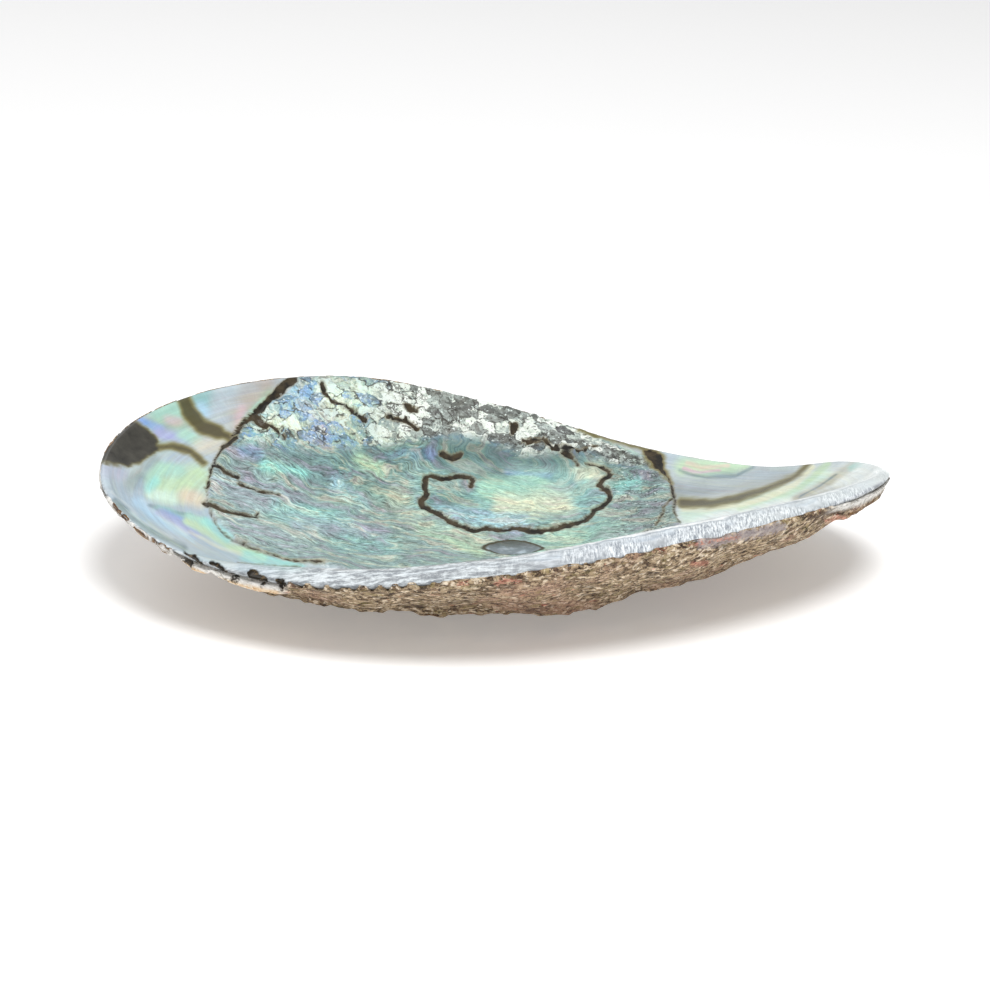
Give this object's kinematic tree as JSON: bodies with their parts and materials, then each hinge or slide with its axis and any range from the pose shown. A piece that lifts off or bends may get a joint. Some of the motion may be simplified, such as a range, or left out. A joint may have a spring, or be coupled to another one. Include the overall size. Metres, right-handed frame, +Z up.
{
  "type": "abalone shell dish",
  "caption": "One abalone shell lying on its back as a shallow oval bowl, with a pearly inside, a rough crust outside and a curved row of breathing pores.",
  "frame": {"origin": "middle of the shell's outline seen from above, on the surface that it rests on", "axes": "+X along the shell's length, towards its growing lip; +Y towards the outer lip, away from the shelf; +Z up"},
  "size_m": [0.155, 0.117, 0.0263],
  "materials": {
    "nacre": "polished mother-of-pearl in silver, sea green, blue and pink",
    "crust": "dull, rough and grainy tan-brown shell crust"
  },
  "bodies": {
    "root": {"abalone_shell": "nacre"}
  },
  "joints": []
}
